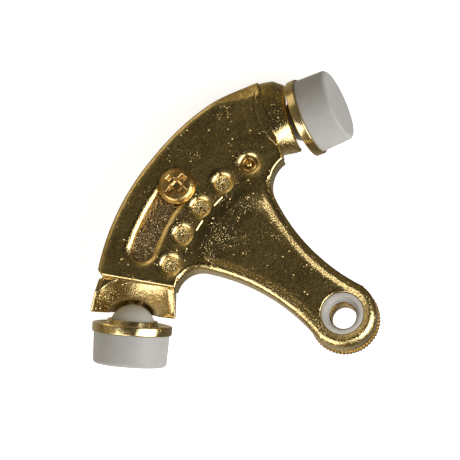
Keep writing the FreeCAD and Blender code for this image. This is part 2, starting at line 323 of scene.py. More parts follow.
def neck_field(x, y, z):
    """Round-topped housing that tapers to the fixed bumper, open behind."""
    s, t = neck_frame(x, y)
    outer, inner = neck_sides(s)
    half = np.where(t > 0, outer, inner - 0.22 * np.maximum(BALL_Z - z, 0))
    run = np.clip((-s - NECK_GAP) / 12.5, 0, 1)
    power = 2.25 + 1.9 * run ** 1.5
    crown = FACE_Z - BALL_Z + 0.25 * np.sin(math.pi * run) - 1.8 * (1 - run) ** 2
    lift = np.maximum(z - BALL_Z, 0)
    shell = ((np.abs(t) / half) ** power + (lift / crown) ** power) ** (1 / power)
    outside = meet((shell - 1) * 10.8, s + NECK_GAP + 0.12 * lift, 0.8)
    limit = outer_radius(x, y) - 0.07 * np.maximum(z - 8.0, 0) ** 2
    outside = np.maximum(outside, np.hypot(x, y) - limit)
    outside = np.maximum(outside, -s - NECK_LENGTH)
    open_below = np.where(z < BALL_Z - 0.5, s + 5.2, -1e3)
    return np.maximum(np.maximum(outside, open_below), BACK_Z - z)


def neck_hollow(x, y, z):
    """Space behind the housing's crown where the ball sits."""
    s, t = neck_frame(x, y)
    lift = np.maximum(z - BALL_Z, 0)
    taper = 0.3 * np.maximum(BALL_Z - z, 0)
    return np.maximum(np.hypot(t, lift) - NECK_HOLLOW_R + taper, -s - NECK_HOLLOW_DEPTH)


def end_face(x, y):
    """Plane at the arc's open end, with its outer corner cut off."""
    lean = math.radians(END_LEAN)
    plane = (END_POINT[1] - y) * math.cos(lean) - (END_POINT[0] - x) * math.sin(lean)
    corner = math.radians(END_CORNER)
    cut = (END_POINT[1] - y) * math.cos(corner) - (END_POINT[0] - x) * math.sin(corner)
    return meet(plane, cut, 0.4)


def face_top(x, y):
    """Height of the flat face, with a fine groove where the neck begins."""
    s, t = neck_frame(x, y)
    groove = CREASE_DEPTH * np.exp(-(crease(s, t) / CREASE_WIDTH) ** 2)
    return FACE_Z - groove * ease(NECK_R, NECK_R - 2.0, np.abs(t))


def block_field(x, y, z, outline, top):
    """Arc block and the neck's root, with the step round the index holes."""
    r = np.hypot(x, y)
    s = neck_frame(x, y)[0]
    root = np.maximum(neck_plan(x, y), s + ROOT_BACK)
    arc = np.maximum(np.maximum(arc_ring(x, y), -past(x, y, BODY_START)), end_face(x, y))
    step = BODY_INNER_R - r
    for centre in index_holes():
        step = join(step, to_point(x, y, centre) - INDEX_BOSS_R, 0.5)
    block = join(np.maximum(outline, end_face(x, y)), root, ROOT_FILLET)
    block = np.maximum(block, np.minimum(arc, root) - 4.0)
    block = np.maximum(block, r - outer_radius(x, y))
    block = meet(block, z - top, 0.8)
    width = BEVEL_WIDTH + NECK_BEVEL_EXTRA * ease(122, 112, turn_about_pin(x, y))
    block = meet(block, bevel(r - outer_radius(x, y), width, z - top), 0.5)
    block = meet(block, np.where(s > -NECK_LENGTH, FAR_INSIDE, step), 0.15)
    block = meet(block, BACK_Z - z, 0.5)
    below_web = z - WEB_BACK_Z
    pin_end = np.maximum(np.maximum(below_web, r - 57.0), past(x, y, 119.0))
    block = carve(block, pin_end, 0.3)
    open_end = np.maximum(np.maximum(below_web, r - WEB_REACH), -past(x, y, 160.0))
    return carve(block, open_end, 0.3)


def web_field(x, y, z, outline):
    """Web and eye, with a raised rim, a sunk panel and a panel that climbs to the face."""
    r = np.hypot(x, y)
    panel = PANEL_Z + RIM_RISE * ease(RIM_WIDTH + 0.7, RIM_WIDTH - 0.7, -outline)
    climb = RISE_ACROSS[0] * (x - RISE_POINT[0]) + RISE_ACROSS[1] * (y - RISE_POINT[1])
    climb = ease(-7.0, 2.5, climb) + ease(152, 162, turn_about_pin(x, y)) * ease(42, 50, r)
    panel = panel + (FACE_Z - STEP_DROP - panel) * ease(42, BODY_INNER_R - 0.4, r)
    panel = panel + (FACE_Z - panel) * np.minimum(climb, 1)
    web_end = np.where(r > 45, end_face(x, y), FAR_INSIDE)
    web = meet(np.maximum(outline, web_end), z - panel, 1.7 + 0.5 * ease(20, 12, r))
    web_back = np.where(r < EYE_R + 0.5, EYE_BACK_Z, WEB_BACK_Z)
    web = meet(web, web_back - z, 0.5)
    return np.maximum(web, r - WEB_REACH)


def cut_index_holes(solid, x, y, z):
    """Solid with its countersunk index holes, the first drilled through for the guide pin."""
    for number, centre in enumerate(index_holes()):
        hole = to_point(x, y, centre) - INDEX_HOLE_R
        solid = carve(solid, np.maximum(hole, FACE_Z - INDEX_DEPTH - z), 0.15)
        solid = carve(solid, dish(hole, FACE_Z, z, INDEX_DISH), 0.45)
        if number == 0:
            shank = to_point(x, y, centre) - PIN_SHANK_HOLE_R
            solid = np.maximum(solid, -np.maximum(shank, BACK_Z - z))
    return solid


def body_field(x, y, z):
    """The body casting."""
    r = np.hypot(x, y)
    outline = plan_outline(x, y)
    top = face_top(x, y)
    solid = join(block_field(x, y, z, outline, top), web_field(x, y, z, outline), 0.12)
    s, t = neck_frame(x, y)
    neck = np.maximum(neck_field(x, y, z), z - top)
    neck = meet(neck, bevel(t - neck_sides(s)[0], BEVEL_WIDTH + NECK_BEVEL_EXTRA, z - top), 0.5)
    solid = join(solid, neck, 0.3)

    channel = np.maximum(ring(r, BODY_INNER_R + INNER_WALL, BODY_OUTER_R - OUTER_WALL),
                         -past(x, y, CHANNEL_START))
    channel = np.maximum(channel, z - (FACE_Z - TOP_WALL))
    solid = carve(solid, channel, 0.3)
    solid = carve(solid, neck_hollow(x, y, z), 0.3)
    slot = arc_distance(x, y, MID_R, SLOT_FROM, SLOT_TO) - SLOT_HALF
    solid = carve(solid, np.maximum(slot, FACE_Z - 2 * TOP_WALL - z), 0.3)
    solid = carve(solid, dish(slot, FACE_Z, z, SLOT_DISH), 0.3)
    solid = cut_index_holes(solid, x, y, z)
    bore = np.where(z > EYE_MOUTH_Z, EYE_MOUTH_R, EYE_BORE_R) - r
    solid = meet(solid, bore, 0.3)
    return carve(solid, dish(r - EYE_MOUTH_R, PANEL_Z + RIM_RISE, z, EYE_DISH), 0.25)


def head_centre(y):
    """Centre line of the arm's scooped head, across the plan."""
    return -65.1 - (13.2 - y) * 0.182


def head_radius(y):
    """Outer radius of the scooped head, which flares toward the bumper."""
    return 12.05 + (13.2 - y) * 0.148


def head_end(x, y, z):
    """Leaning plane at the head's open end."""
    turn = math.radians(HEAD_END_SLOPE)
    lean = math.radians(HEAD_END_LEAN)
    ahead = (HEAD_END[1] - y) * math.cos(turn) - (HEAD_END[0] - x) * math.sin(turn)
    return ahead * math.cos(lean) + (HEAD_END[2] - z) * math.sin(lean)


def head_field(x, y, z):
    """Half-round block, open to the front, that cradles the moving bumper's ball."""
    depth = np.minimum(z - HEAD_Z, 0)
    across = x - head_centre(y)
    outside = np.hypot(across, depth) - head_radius(y)
    rim = HEAD_RIM_Z + np.clip(0.62 * (y - 2.6), 0, 3.9)
    outside = meet(outside, 0.85 * (z - rim), 0.35)
    outside = meet(outside, head_end(x, y, z), 0.4)
    return np.maximum(outside, -past(x, y, HEAD_START))


def scoop_field(x, y, z):
    """Ramp that falls toward the ball, dished across, with a pocket round the ball."""
    across = np.abs(x - head_centre(y)) / 11.0
    top_y, top_z = RAMP_TOP
    ramp = top_z - RAMP_FALL * np.maximum(top_y - y, 0) + RAMP_DISH * across ** 2.2
    ramp = 0.75 * (ramp - z)
    side = np.abs(x - head_centre(y)) - head_radius(y) + 0.5 * HEAD_WALL
    from_ball = np.sqrt((x - BALL_B[0]) ** 2 + (y - BALL_B[1]) ** 2 + (z - BALL_B[2]) ** 2)
    pocket = from_ball - POCKET_R
    return join(np.maximum(ramp, side), pocket, 1.2)


def arm_field(x, y, z):
    """The adjusting arm."""
    r = np.hypot(x, y)
    inner = BODY_INNER_R + INNER_WALL + SLIDE_GAP
    outer = BODY_OUTER_R - OUTER_WALL - SLIDE_GAP
    top = FACE_Z - TOP_WALL - SLIDE_GAP
    tail = meet(ring(r, inner, outer), np.abs(z - (top + ARM_BACK_Z) / 2) - (top - ARM_BACK_Z) / 2,
                0.4)
    tail = meet(tail, -past(x, y, ARM_START), 0.4)
    tail = np.maximum(tail, past(x, y, HEAD_START + 3.5))
    solid = join(tail, head_field(x, y, z), 0.8)
    channel = np.maximum(ring(r, inner + ARM_WALL, outer - ARM_WALL), z - (top - ARM_PLATE))
    channel = np.maximum(channel, past(x, y, HEAD_START - 8))
    solid = carve(solid, np.maximum(channel, -past(x, y, ARM_START - 4)), 0.4)
    solid = carve(solid, scoop_field(x, y, z), 0.5)
    notch = np.maximum(r - INDEX_R - 3.5, past(x, y, INDEX_FIRST + 3.3))
    solid = carve(solid, notch, 0.3)
    screw = to_point(x, y, polar(MID_R, SCREW_ANGLE)) - 2.6
    return carve(solid, screw, 0.2)


def boss_field(x, y, z):
    """Boss inside the scoop that takes the moving bumper's stud."""
    dip = math.radians(BOSS_DIP)
    ay = math.cos(dip)
    az = -math.sin(dip)
    dx = x - BALL_B[0]
    dy = y - BALL_B[1]
    dz = z - BALL_B[2]
    along = dy * ay + dz * az
    off = np.sqrt(np.maximum(dx ** 2 + dy ** 2 + dz ** 2 - along ** 2, 0))
    boss = np.maximum(off - BOSS_R, BALL_R + 2.4 - along)
    return np.maximum(boss, along - 13.0)


def arm_with_boss(x, y, z):
    """The adjusting arm with its stud boss."""
    return join(arm_field(x, y, z), np.maximum(boss_field(x, y, z), head_solid(x, y, z)), 0.6)


def head_solid(x, y, z):
    """Everything within the head's outside skin."""
    depth = np.minimum(z - HEAD_Z, 0)
    return np.hypot(x - head_centre(y), depth) - head_radius(y)


# ---------------------------------------------------------------------------
# Mesh building
# ---------------------------------------------------------------------------
CUBE_EDGES = [((0, 0, 0), (1, 0, 0)), ((0, 1, 0), (1, 1, 0)), ((0, 0, 1), (1, 0, 1)),
              ((0, 1, 1), (1, 1, 1)), ((0, 0, 0), (0, 1, 0)), ((1, 0, 0), (1, 1, 0)),
              ((0, 0, 1), (0, 1, 1)), ((1, 0, 1), (1, 1, 1)), ((0, 0, 0), (0, 0, 1)),
              ((1, 0, 0), (1, 0, 1)), ((0, 1, 0), (0, 1, 1)), ((1, 1, 0), (1, 1, 1))]


def gradient(field, points, step=0.02):
    """Slope of a field at points, by central differences."""
    slope = np.empty_like(points)
    for axis in range(3):
        shift = np.zeros(3)
        shift[axis] = step
        ahead = field(*(points + shift).T)
        behind = field(*(points - shift).T)
        slope[:, axis] = (ahead - behind) / (2 * step)
    return slope


def field_mesh(name, field, low, high, step):
    """Mesh of a distance field's surface by surface nets, pulled onto the surface."""
    axes = [np.arange(a, b + step, step) for a, b in zip(low, high)]
    x, y, z = (axis.reshape([-1 if k == n else 1 for k in range(3)])
               for n, axis in enumerate(axes))
    values = np.broadcast_to(field(x, y, z), [len(a) for a in axes]).astype(np.float32)
    inside = values < 0
    cells = np.zeros([len(a) - 1 for a in axes], np.int8)
    for corner in np.ndindex(2, 2, 2):
        cells += inside[tuple(slice(c, len(a) - 1 + c) for c, a in zip(corner, axes))]
    active = np.argwhere((cells > 0) & (cells < 8))
    number = np.full(cells.shape, -1, np.int32)
    number[tuple(active.T)] = np.arange(len(active))
    total = np.zeros((len(active), 3))
    count = np.zeros(len(active))
    for start, end in CUBE_EDGES:
        first = values[tuple((active + start).T)]
        second = values[tuple((active + end).T)]
        crossed = (first < 0) != (second < 0)
        share = np.where(crossed, first / np.where(crossed, first - second, 1), 0)
        point = np.array(start) + share[:, None] * (np.array(end) - np.array(start))
        total += point * crossed[:, None]
        count += crossed
    points = np.array(low) + (active + total / count[:, None]) * step
    for _ in range(3):
        slope = gradient(field, points)
        length = np.maximum((slope ** 2).sum(1), 0.25)
        move = slope * (field(*points.T) / length)[:, None]
        points -= np.clip(move, -0.3 * step, 0.3 * step)

    quads = []
    for axis in range(3):
        others = [a for a in range(3) if a != axis]
        lower = [slice(None)] * 3
        upper = [slice(None)] * 3
        lower[axis] = slice(0, -1)
        upper[axis] = slice(1, None)
        changed = inside[tuple(lower)] != inside[tuple(upper)]
        where = np.argwhere(changed)
        for other in others:
            where = where[(where[:, other] > 0) & (where[:, other] < len(axes[other]) - 1)]
        corners = []
        for back in ((1, 1), (0, 1), (0, 0), (1, 0)):
            cell = where.copy()
            cell[:, others[0]] -= back[0]
            cell[:, others[1]] -= back[1]
            corners.append(number[tuple(cell.T)])
        faces = np.stack(corners, 1)
        outward = inside[tuple(where.T)]
        if axis == 1:
            outward = ~outward
        faces[~outward] = faces[~outward][:, ::-1]
        quads.append(faces)
    return mesh_object(name, points, np.concatenate(quads))


def mesh_object(name, points, faces):
    """Smooth-shaded object from millimetre points and faces."""
    mesh = bpy.data.meshes.new(name)
    mesh.from_pydata((np.asarray(points) * MM).tolist(), [],
                     faces.tolist() if isinstance(faces, np.ndarray) else faces)
    mesh.validate()
    mesh.polygons.foreach_set("use_smooth", [True] * len(mesh.polygons))
    obj = bpy.data.objects.new(name, mesh)
    bpy.context.scene.collection.objects.link(obj)
    return obj


def rounded(profile, steps=5):
    """Profile of (radius, height, corner radius) with each corner turned into an arc."""
    result = []
    for n, (r, h, size) in enumerate(profile):
        here = np.array([r, h], float)
        before = np.array(profile[n - 1][:2], float) - here
        after = np.array(profile[(n + 1) % len(profile)][:2], float) - here
        if size <= 0:
            result.append(here)
            continue
        length_a = np.linalg.norm(before)
        length_b = np.linalg.norm(after)
        before /= length_a
        after /= length_b
        half = math.acos(np.clip(before @ after, -1, 1)) / 2
        back = min(size / math.tan(half), 0.49 * length_a, 0.49 * length_b)
        for k in range(steps + 1):
            t = k / steps
            a = here + before * back
            b = here + after * back
            result.append((1 - t) ** 2 * a + 2 * t * (1 - t) * here + t * t * b)
    return np.array(result)


def lathe(name, profile, turns=160, wave=None):
    """Closed profile turned about local Z. wave(radii, heights, angle) may reshape the rim."""
    angles = np.linspace(0, 2 * math.pi, turns, endpoint=False)
    on_axis = profile[:, 0] < 1e-6
    points = []
    index = np.zeros((turns, len(profile)), int)
    for k in range(len(profile)):
        if on_axis[k]:
            index[:, k] = len(points)
            points.append((0, 0, profile[k, 1]))
        else:
            for n, angle in enumerate(angles):
                radius = profile[k, 0]
                if wave:
                    radius = wave(radius, profile[k, 1], angle)
                index[n, k] = len(points)
                points.append((radius * math.cos(angle), radius * math.sin(angle), profile[k, 1]))
    faces = []
    for n in range(turns):
        m = (n + 1) % turns
        for k in range(len(profile)):
            j = (k + 1) % len(profile)
            face = [index[n, k], index[m, k], index[m, j], index[n, j]]
            face = [v for i, v in enumerate(face) if v != face[i - 1]]
            if len(face) > 2:
                faces.append([int(v) for v in face])
    obj = mesh_object(name, points, faces)
    volume = 0.0
    for poly in obj.data.polygons:
        volume += poly.center.dot(poly.normal) * poly.area
    if volume < 0:
        obj.data.flip_normals()
    return obj


def aim(angle, tilt):
    """Unit vector at an angle in the plan, raised out of it by tilt."""
    a = math.radians(angle)
    b = math.radians(tilt)
    return Vector((math.cos(b) * math.cos(a), math.cos(b) * math.sin(a), math.sin(b)))


def place(obj, centre, axis):
    """Bake into the mesh a move that takes local Z to an axis through a centre."""
    turn = Vector((0, 0, 1)).rotation_difference(axis).to_matrix().to_4x4()
    obj.data.transform(Matrix.Translation(Vector(centre) * MM) @ turn)
    return obj


# ---------------------------------------------------------------------------
# Materials
# ---------------------------------------------------------------------------
class Nodes:
    """Short way to build a material's node tree."""

    def __init__(self, name):
        self.material = bpy.data.materials.new(name)
        self.material.use_nodes = True
        self.tree = self.material.node_tree
        self.shader = self.tree.nodes["Principled BSDF"]
        self.where = self.add("ShaderNodeTexCoord").outputs["Object"]

    def add(self, kind, **values):
        node = self.tree.nodes.new(kind)
        for key, value in values.items():
            if hasattr(node, key):
                setattr(node, key, value)
            else:
                node.inputs[key.replace("_", " ")].default_value = value
        return node

    def link(self, source, target):
        self.tree.links.new(source, target)

    def noise(self, size, detail=2.0, rough=0.5):
        """Noise whose features are about size millimetres across."""
        node = self.add("ShaderNodeTexNoise", Scale=1 / (size * MM), Detail=detail,
                        Roughness=rough)
        self.link(self.where, node.inputs["Vector"])
        return node.outputs["Fac"]

    def cells(self, size):
        """Distance to scattered points about size millimetres apart."""
        node = self.add("ShaderNodeTexVoronoi", Scale=1 / (size * MM))
        self.link(self.where, node.inputs["Vector"])
        return node.outputs["Distance"]

    def remap(self, source, low, high, to_low, to_high):
        node = self.add("ShaderNodeMapRange")
        for slot_name, value in (("From Min", low), ("From Max", high), ("To Min", to_low),
                                 ("To Max", to_high)):
            node.inputs[slot_name].default_value = value
        self.link(source, node.inputs["Value"])
        return node.outputs["Result"]

    def math(self, kind, a, b):
        node = self.add("ShaderNodeMath", operation=kind)
        for n, value in enumerate((a, b)):
            if isinstance(value, (int, float)):
                node.inputs[n].default_value = value
            else:
                self.link(value, node.inputs[n])
        return node.outputs[0]

    def blend(self, share, a, b):
        """Colour between a and b; share is a socket."""
        node = self.add("ShaderNodeMix", data_type="RGBA")
        self.link(share, node.inputs["Factor"])
        for slot_name, value in (("A", a), ("B", b)):
            socket = [s for s in node.inputs if s.name == slot_name and s.type == "RGBA"][0]
            if isinstance(value, tuple):
                socket.default_value = (*value, 1)
            else:
                self.link(value, socket)
        return [s for s in node.outputs if s.type == "RGBA"][0]

    def attribute(self, name):
        node = self.add("ShaderNodeAttribute", attribute_name=name)
        return node.outputs["Fac"]

    def bump(self, height, depth, strength=1.0):
        node = self.add("ShaderNodeBump", Distance=depth * MM, Strength=strength)
        self.link(height, node.inputs["Height"])
        self.link(node.outputs["Normal"], self.shader.inputs["Normal"])
        return node


def gold(name, bright, deep, rough, speck, mottle=0.3, raw=None, grain=0.7):
    """Bright plating over a casting. It has fine mottling, slow waves and scattered pits, and
    takes a raw colour and a coarse grain where the mesh is marked as cast."""
    m = Nodes(name)
    tint = m.remap(m.noise(6.0, 3.0), 0.35, 0.65, 0, 1)
    fine = m.noise(0.55, 3.0, 0.65)
    shade = m.remap(fine, 0.3, 0.7, 1 - mottle, 1 + mottle)
    base = m.add("ShaderNodeVectorMath", operation="SCALE")
    cast = m.attribute("cast")
    m.link(m.blend(cast, m.blend(tint, bright, deep), raw or bright), base.inputs[0])
    m.link(shade, base.inputs["Scale"])
    m.link(base.outputs[0], m.shader.inputs["Base Color"])
    m.shader.inputs["Metallic"].default_value = 1.0
    smear = m.remap(m.noise(1.6, 4.0, 0.65), 0.3, 0.7, rough * 0.7, rough * 1.35)
    m.link(m.math("ADD", smear, m.math("MULTIPLY", cast, 0.08)), m.shader.inputs["Roughness"])

    pits = m.remap(m.cells(1.1), 0.05, 0.24, -1, 0)
    pits_here = m.remap(m.noise(2.6, 1.0), 0.5, 0.62, 0, speck)
    specks = m.remap(m.cells(0.5), 0.04, 0.26, -0.45, 0)
    specks_here = m.remap(m.noise(7.0, 2.0), 0.42, 0.66, 0.15 * speck, 1.2 * speck)
    height = m.math("MULTIPLY", pits, pits_here)
    for pattern, amount in ((specks, specks_here), (fine, 0.5 * speck),
                            (m.noise(4.0, 1.0), 1.2), (m.noise(15.0, 1.0), 4.5),
                            (m.noise(grain, 2.0, 0.6), m.math("MULTIPLY", cast, 4.0))):
        height = m.math("ADD", height, m.math("MULTIPLY", pattern, amount))
    m.bump(height, 0.1)
    return m.material


def plastic(name, light, dark, rough, size, depth):
    """Moulded white plastic with faint mottling."""
    m = Nodes(name)
    share = m.remap(m.noise(size, 3.0), 0.3, 0.7, 0, 1)
    m.link(m.blend(share, light, dark), m.shader.inputs["Base Color"])
    m.link(m.remap(m.noise(size * 0.4, 2.0), 0.3, 0.7, rough * 0.85, rough * 1.2),
           m.shader.inputs["Roughness"])
    m.shader.inputs["Subsurface Weight"].default_value = 0.08
    m.shader.inputs["Subsurface Radius"].default_value = (0.0012, 0.0011, 0.001)
    m.bump(m.noise(0.5, 3.0), depth)
    return m.material


def steel(name):
    """Zinc-plated steel."""
    m = Nodes(name)
    share = m.remap(m.noise(1.2, 3.0), 0.3, 0.7, 0, 1)
    m.link(m.blend(share, (0.55, 0.56, 0.58), (0.40, 0.41, 0.43)), m.shader.inputs["Base Color"])
    m.shader.inputs["Metallic"].default_value = 1.0
    m.link(m.remap(m.noise(0.4, 3.0), 0.3, 0.7, 0.25, 0.42), m.shader.inputs["Roughness"])
    m.bump(m.noise(0.2, 3.0), 0.01)
    return m.material


def floor_paint():
    """Pale studio floor."""
    m = Nodes("studio_floor")
    share = m.remap(m.noise(40.0, 2.0), 0.3, 0.7, 0, 1)
    m.link(m.blend(share, (0.93, 0.93, 0.93), (0.90, 0.90, 0.90)), m.shader.inputs["Base Color"])
    m.shader.inputs["Roughness"].default_value = 0.9
    m.shader.inputs["Emission Color"].default_value = (1, 1, 1, 1)
    m.shader.inputs["Emission Strength"].default_value = 0.7
    return m.material


def paint(obj, material):
    """Give an object one material."""
    obj.data.materials.clear()
    obj.data.materials.append(material)
    for poly in obj.data.polygons:
        poly.material_index = 0


def mark_cast(obj, rule):
    """Store how rough the as-cast skin is at each point of a mesh."""
    points = np.empty(len(obj.data.vertices) * 3)
    obj.data.vertices.foreach_get("co", points)
    values = rule(*(points.reshape(-1, 3) / MM).T)
    layer = obj.data.attributes.new("cast", "FLOAT", "POINT")
    layer.data.foreach_set("value", np.clip(values, 0, 1).astype(np.float32))


def body_cast(x, y, z):
    """Rough skin over the web, most along the edge of its panel, and on the holes' floors."""
    inset = -plan_outline(x, y)
    web = (np.hypot(x, y) < BODY_INNER_R + 1.5) & (z < PANEL_Z + 0.9) & (z > WEB_BACK_Z + 1)
    line = np.exp(-((inset - RIM_WIDTH - 0.1) / 1.0) ** 2)
    rough = np.where(web, 0.25 + 0.75 * line, 0.0)
    rough = np.where(z < FACE_Z - TOP_WALL + 0.3 * web, np.maximum(rough, 0.5), rough)
    for centre in index_holes():
        floor = (to_point(x, y, centre) < INDEX_HOLE_R) & (z > FACE_Z - 2 * INDEX_DEPTH)
        rough = np.where(floor, 1.0, rough)
    return rough


def arm_cast(x, y, z):
    """Rough skin over the arm, but not in the polished scoop."""
    return np.where(past(x, y, HEAD_START) > -0.5, 0.12, 1.0)


# ---------------------------------------------------------------------------
# Pieces
# ---------------------------------------------------------------------------
FINISH = {
    "gold_casting": gold("gold_casting", (0.78, 0.62, 0.30), (0.72, 0.55, 0.25), 0.16, 1.0, 0.4),
    "gold_arm": gold("gold_arm", (0.78, 0.62, 0.30), (0.72, 0.55, 0.25), 0.15, 1.0, 0.3,
                     (0.58, 0.44, 0.25), 1.0),
    "gold_screw": gold("gold_screw", (0.62, 0.44, 0.18), (0.54, 0.37, 0.13), 0.26, 0.3, 0.15),
    "gold_collar": gold("gold_collar", (0.64, 0.39, 0.08), (0.56, 0.32, 0.06), 0.22, 0.6, 0.2),
    "gold_cup": gold("gold_cup", (0.84, 0.70, 0.40), (0.78, 0.62, 0.32), 0.18, 0.4, 0.15),
    "zinc_steel": steel("zinc_steel"),
    "white_nylon": plastic("white_nylon", (0.50, 0.49, 0.47), (0.45, 0.44, 0.42), 0.36, 4.0, 0.02),
    "white_pad": plastic("white_pad", (0.38, 0.38, 0.375), (0.35, 0.35, 0.345), 0.5, 3.0, 0.03),
}


def install(obj, body, finish, nodes):
    """Paint a piece, tie it to its body and hide the CAD nodes that it stands for."""
    paint(obj, FINISH[finish])
    obj.data.validate()
    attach(obj, body)
    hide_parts(*nodes)
    return obj


def casting(name, field, low, high, step, most):
    """Field mesh thinned to at most a number of triangles."""
    obj = field_mesh(name, field, low, high, step)
    triangles = 2 * len(obj.data.polygons)
    if triangles > most:
        thin = obj.modifiers.new("thin", "DECIMATE")
        thin.ratio = most / triangles
        deps = bpy.context.evaluated_depsgraph_get()
        mesh = bpy.data.meshes.new_from_object(obj.evaluated_get(deps))
        obj.modifiers.clear()
        obj.data = mesh
    return obj


def make_body():
    """The body casting with its neck, slot, holes and web."""
    obj = casting("body_skin", body_field, (-82, -13, -6.5), (13, 82.5, 16), 0.30, 180000)
    mark_cast(obj, body_cast)
    install(obj, "body", "gold_casting", ["body_casting"])


def make_arm():
    """The adjusting arm with its scooped head."""
    obj = casting("arm_skin", arm_with_boss, (-82.5, -2, -9), (-24, 75, 12.5), 0.32, 150000)
    mark_cast(obj, arm_cast)
    install(obj, "arm", "gold_arm", ["adjusting_arm"])


def screw_field(x, y, z):
    """Pan-head screw with a cross recess and a threaded shank, on its own axis."""
    top = SCREW_SEAT_Z + SCREW_HEAD_HEIGHT
    r = np.hypot(x, y)
    dome_r = (SCREW_HEAD_R ** 2 + SCREW_DOME ** 2) / 2 / SCREW_DOME
    dome = np.sqrt(r ** 2 + (z - top + dome_r) ** 2) - dome_r
    head = meet(meet(r - SCREW_HEAD_R, dome, 1.6), SCREW_SEAT_Z - z, 0.3)
    turn = np.arctan2(y, x) / (2 * math.pi)
    tooth = np.abs(((z / SCREW_PITCH - turn) % 1) - 0.5) * 2
    shank = np.maximum(r - SCREW_SHANK_R + 0.4 * tooth, SCREW_TIP_Z - z)
    shank = np.maximum(shank, z - SCREW_SEAT_Z - 0.4)
    solid = join(head, shank, 0.2)
    a = math.radians(RECESS_TURN)
    u = np.abs(x * math.cos(a) + y * math.sin(a))
    v = np.abs(y * math.cos(a) - x * math.sin(a))
    depth = top - z
    reach = RECESS_REACH - 0.6 * depth
    width = RECESS_WIDTH - 0.1 * depth
    floor = depth - RECESS_DEPTH
    arm_u = np.maximum(np.maximum(u - reach, v - width), floor)
    arm_v = np.maximum(np.maximum(v - reach, u - width), floor)
    return carve(solid, join(arm_u, arm_v, 1.4), 0.4)


def make_screw():
    """Clamp screw in the slot."""
    centre = polar(MID_R, SCREW_ANGLE)

    def field(x, y, z):
        return screw_field(x - centre[0], y - centre[1], z)

    low = (centre[0] - 6.5, centre[1] - 6.5, 1.2)
    high = (centre[0] + 6.5, centre[1] + 6.5, SCREW_SEAT_Z + SCREW_HEAD_HEIGHT + 0.6)
    obj = casting("screw_skin", field, low, high, 0.14, 90000)
    mark_cast(obj, lambda x, y, z: np.full(len(x), 0.2))
    install(obj, "screw", "gold_screw", ["clamp_screw"])


def make_pin():
    """Guide pin with a rounded rim round a small domed rivet."""
    low = FACE_Z - INDEX_DEPTH
    profile = [(0, 5.5, 0), (1.9, 5.5, 0.3), (1.9, low - 0.1, 0), (2.45, low - 0.1, 0),
               (2.45, 13.35, 0.5), (1.6, 13.35, 0.4), (1.45, 12.2, 0.15)]
    profile += [(1.2 * math.sin(t), 12.1 + 1.2 * math.cos(t), 0) for t in np.linspace(1.3, 0, 9)]
    obj = lathe("pin_skin", rounded(profile), 72)
    centre = polar(INDEX_R, INDEX_FIRST)
    place(obj, (centre[0], centre[1], 0), Vector((0, 0, 1)))
    install(obj, "body", "gold_screw", ["guide_pin"])


def make_collar():
    """Serrated collar behind the eye."""
    def serrate(radius, height, angle):
        if radius < SPIGOT_R + 1:
            return radius
        tooth = abs((angle * COLLAR_TEETH / (2 * math.pi)) % 1 - 0.5) * 2
        return radius - TOOTH_DEPTH * tooth

    profile = rounded([(PIN_BORE_R, 0, 0.2), (COLLAR_R, 0, 0.35), (COLLAR_R, COLLAR_TOP, 0.45),
                       (SPIGOT_R, COLLAR_TOP, 0), (SPIGOT_R, SPIGOT_TOP, 0.2),
                       (PIN_BORE_R, SPIGOT_TOP, 0.2)])
    obj = lathe("collar_skin", profile, 480, serrate)
    install(obj, "pivot", "gold_collar", ["knurled_collar"])


def make_bushing():
    """Flanged bushing with a stepped mouth."""
    profile = rounded([(6.1, COLLAR_TOP, 0.2), (6.1, 11.3, 0), (6.7, 11.3, 0.1), (6.7, 12.6, 0.45),
                       (5.3, 12.6, 0.35), (5.3, 10.8, 0.15), (4.8, 10.8, 0.3), (4.8, 9.0, 0.15),
                       (4.4, 9.0, 0.3), (4.4, 7.25, 0.1), (5.02, 7.25, 0), (5.02, COLLAR_TOP, 0)])
    obj = lathe("bushing_skin", profile, 160)
    install(obj, "pivot", "white_nylon", ["eye_bushing"])


def sphere_arc(radius, start, end, count=14):
    """Points (radius, height) round a sphere between two heights."""
    a = math.acos(start / radius)
    b = math.acos(end / radius)
    return [(radius * math.sin(t), radius * math.cos(t), 0) for t in np.linspace(a, b, count)]


def make_bumper(name, ball, outward, body):
    """Gilt cup and the white pad in it."""
    axis = aim(*outward)
    seat = CUP_FRONT - CUP_WALL
    cup = [(11.6, CUP_FRONT, 0.15), (CUP_R, CUP_FRONT, 0.4), (CUP_R, CUP_BACK + 0.2, 0.45),
           (CUP_R - 0.9, CUP_BACK, 0.25), (8.6, 0.2, 0.6), (7.95, CUP_LIP, 0.2)]
    cup += sphere_arc(SOCKET_R, CUP_LIP, seat) + [(11.6, seat, 0)]
    obj = place(lathe("cup_skin_" + name, rounded(cup), 200), ball, axis)
    install(obj, body, "gold_cup", ["bumper_cup_" + name])
    pad = [(0, PAD_FACE, 0), (10.95, PAD_FACE, 1.1), (11.75, PAD_FACE - 0.8, 1.0),
           (12.05, CUP_FRONT + 0.02, 0.3), (11.55, CUP_FRONT, 0), (11.55, seat + 0.05, 0)]
    pad += sphere_arc(SOCKET_R, seat, SOCKET_R - 0.0001)
    obj = place(lathe("pad_skin_" + name, rounded(pad), 200), ball, axis)
    install(obj, body, "white_pad", ["bumper_pad_" + name])


